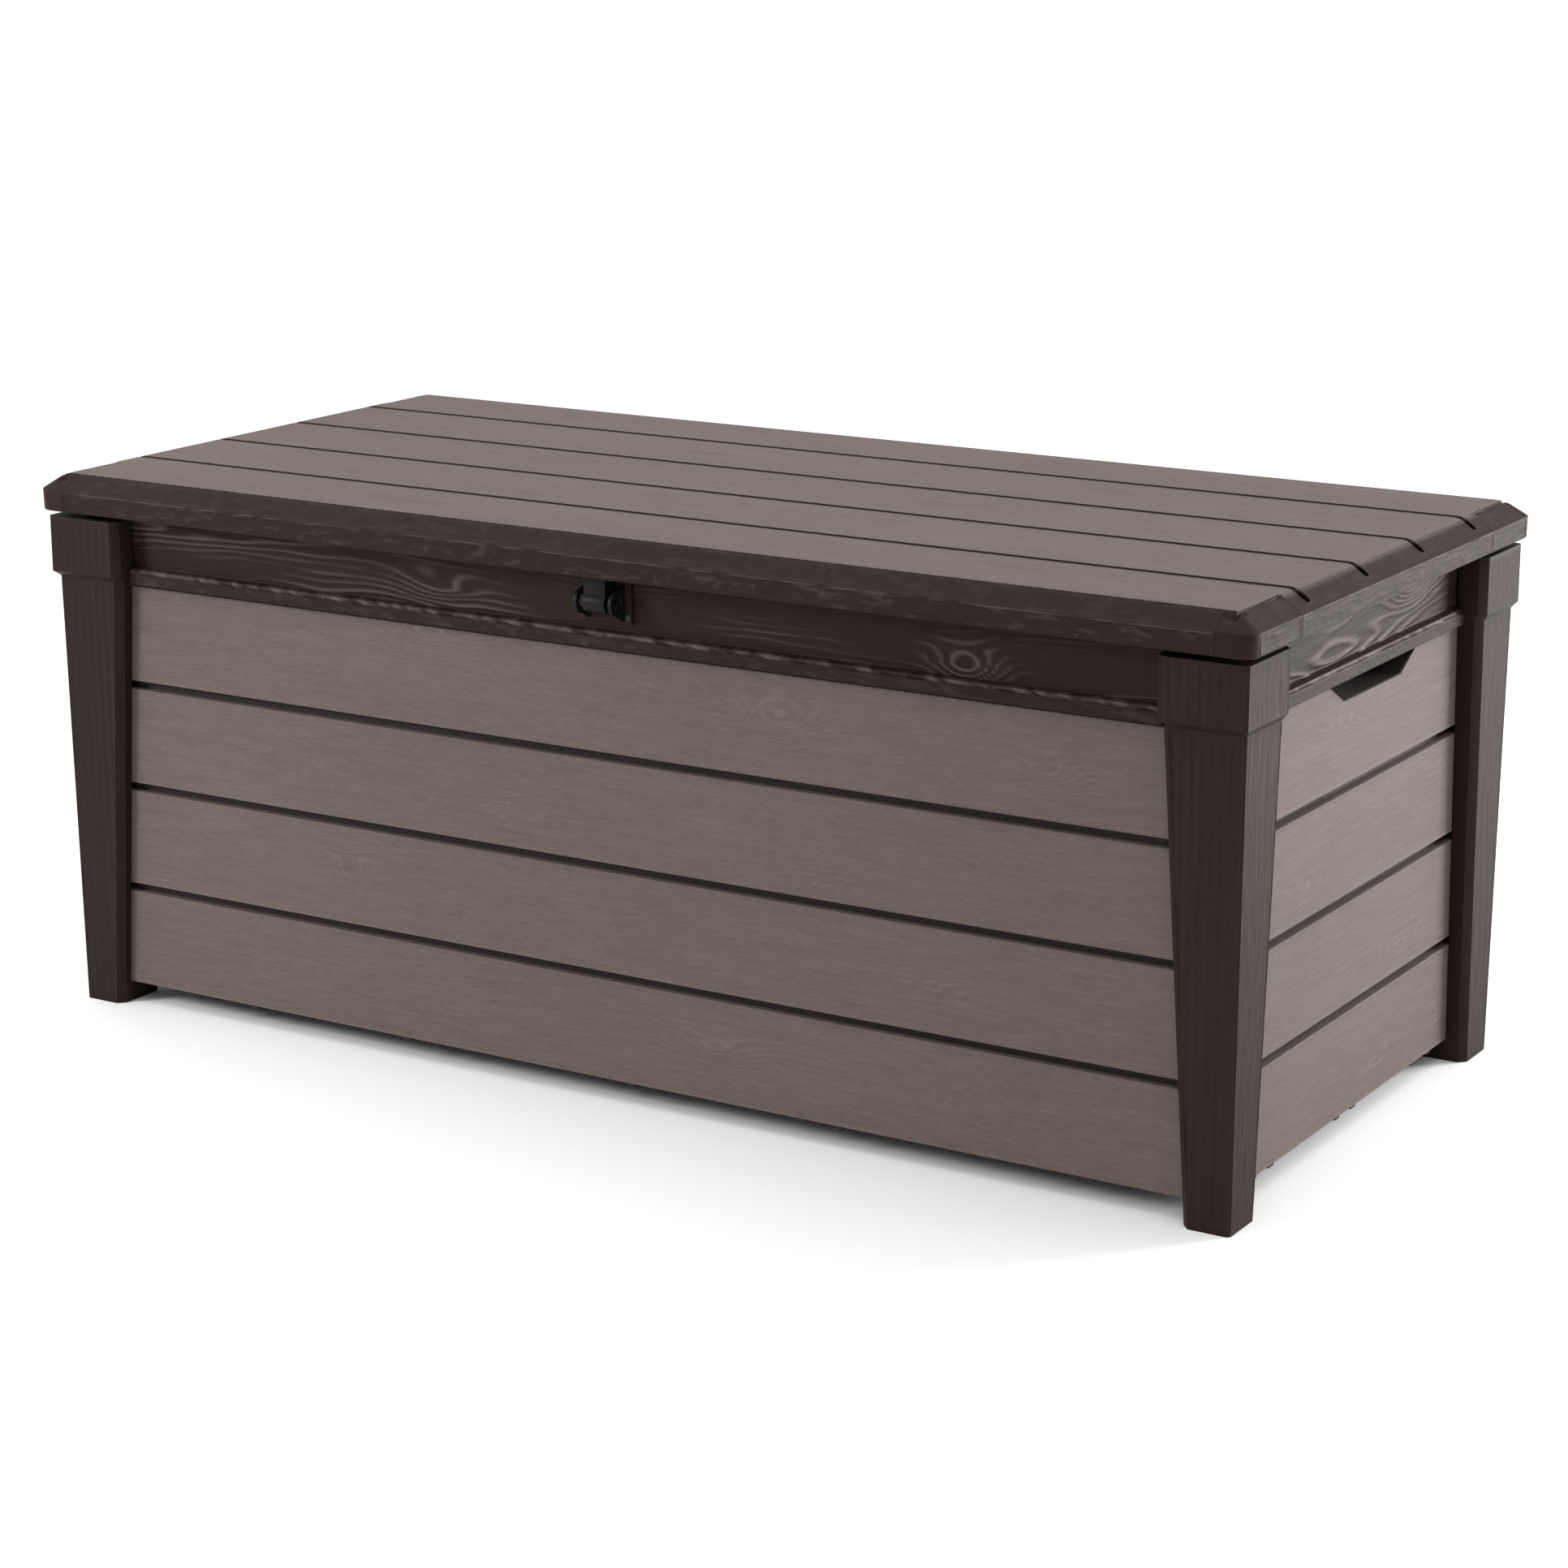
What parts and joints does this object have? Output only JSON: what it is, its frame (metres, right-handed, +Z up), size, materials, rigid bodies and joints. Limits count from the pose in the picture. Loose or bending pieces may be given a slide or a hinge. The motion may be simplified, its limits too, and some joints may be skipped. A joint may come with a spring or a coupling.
{
  "type": "deck storage box",
  "caption": "Long resin outdoor storage box with plank-look walls, tapered corner posts, hand grips, a hinged plank lid on gas struts and a padlock latch.",
  "frame": {"origin": "centre of the box's footprint, on the floor under the four feet, lid closed", "axes": "+X along the length to the right as seen from the front, +Y from the front to the hinge side, +Z up"},
  "size_m": [1.45, 0.697, 0.603],
  "materials": {
    "plank_resin": "matte taupe resin with an embossed wood grain",
    "lid_plank_resin": "matte taupe resin with an embossed wood grain",
    "frame_resin": "satin dark brown resin with an embossed wood grain",
    "inner_resin": "fine-textured dark brown resin",
    "latch_resin": "semi-gloss black nylon",
    "black_steel": "black powder coat",
    "zinc_steel": "zinc plated",
    "strut_paint": "satin black paint",
    "chromed_rod": "hard chrome"
  },
  "bodies": {
    "box": {"back_left_post": "frame_resin", "back_plank_1": "plank_resin", "back_plank_2": "plank_resin", "back_plank_3": "plank_resin", "back_plank_4": "plank_resin", "back_rail": "frame_resin", "back_right_post": "frame_resin", "back_wall": "inner_resin", "box_screws": "zinc_steel", "floor_panel": "inner_resin", "front_left_post": "frame_resin", "front_plank_1": "plank_resin", "front_plank_2": "plank_resin", "front_plank_3": "plank_resin", "front_plank_4": "plank_resin", "front_rail": "frame_resin", "front_right_post": "frame_resin", "front_wall": "inner_resin", "hinge_brackets": "black_steel", "hinge_pins": "zinc_steel", "latch_base": "latch_resin", "left_grip_cup": "frame_resin", "left_plank_1": "plank_resin", "left_plank_2": "plank_resin", "left_plank_3": "plank_resin", "left_plank_4": "plank_resin", "left_rail": "frame_resin", "left_wall": "inner_resin", "right_grip_cup": "frame_resin", "right_plank_1": "plank_resin", "right_plank_2": "plank_resin", "right_plank_3": "plank_resin", "right_plank_4": "plank_resin", "right_rail": "frame_resin", "right_wall": "inner_resin", "strut_wall_brackets": "black_steel"},
    "lid": {"lid_back_left_cap": "frame_resin", "lid_back_rail": "frame_resin", "lid_back_right_cap": "frame_resin", "lid_beams": "zinc_steel", "lid_front_left_cap": "frame_resin", "lid_front_rail": "frame_resin", "lid_front_right_cap": "frame_resin", "lid_inner_panel": "inner_resin", "lid_left_rail": "frame_resin", "lid_plank_1": "lid_plank_resin", "lid_plank_2": "lid_plank_resin", "lid_plank_3": "lid_plank_resin", "lid_plank_4": "lid_plank_resin", "lid_plank_5": "lid_plank_resin", "lid_right_rail": "frame_resin", "lid_screws": "zinc_steel", "hinge_leaves": "black_steel", "latch_tongue": "latch_resin", "strut_lid_brackets": "black_steel"},
    "right_strut_cylinder": {"right_strut_cylinder": "strut_paint"},
    "right_strut_rod": {"right_strut_rod": "chromed_rod"},
    "left_strut_cylinder": {"left_strut_cylinder": "strut_paint"},
    "left_strut_rod": {"left_strut_rod": "chromed_rod"}
  },
  "joints": [
    {"name": "lid_hinge", "type": "hinge", "parent": "box", "child": "lid", "pos_m": [0, 0.342, 0.555], "axis": [-1, 0, 0], "range_deg": [0, 75]},
    {"name": "right_strut_swing", "type": "hinge", "parent": "box", "child": "right_strut_cylinder", "pos_m": [0.655, 0.242, 0.335], "axis": [-1, 0, 0], "range_deg": [0, 13.08]},
    {"name": "right_strut_slide", "type": "slide", "parent": "right_strut_cylinder", "child": "right_strut_rod", "axis": [0, -0.049, 0.9988], "range_m": [0, 0.124]},
    {"name": "left_strut_swing", "type": "hinge", "parent": "box", "child": "left_strut_cylinder", "pos_m": [-0.655, 0.242, 0.335], "axis": [-1, 0, 0], "range_deg": [0, 13.08]},
    {"name": "left_strut_slide", "type": "slide", "parent": "left_strut_cylinder", "child": "left_strut_rod", "axis": [0, -0.049, 0.9988], "range_m": [0, 0.124]}
  ],
  "couplings": [
    {"joint": "right_strut_swing", "follows": "lid_hinge", "ratio": 0.16909},
    {"joint": "right_strut_slide", "follows": "lid_hinge", "m_per_rad": 0.093744},
    {"joint": "left_strut_swing", "follows": "lid_hinge", "ratio": 0.16909},
    {"joint": "left_strut_slide", "follows": "lid_hinge", "m_per_rad": 0.093744}
  ]
}
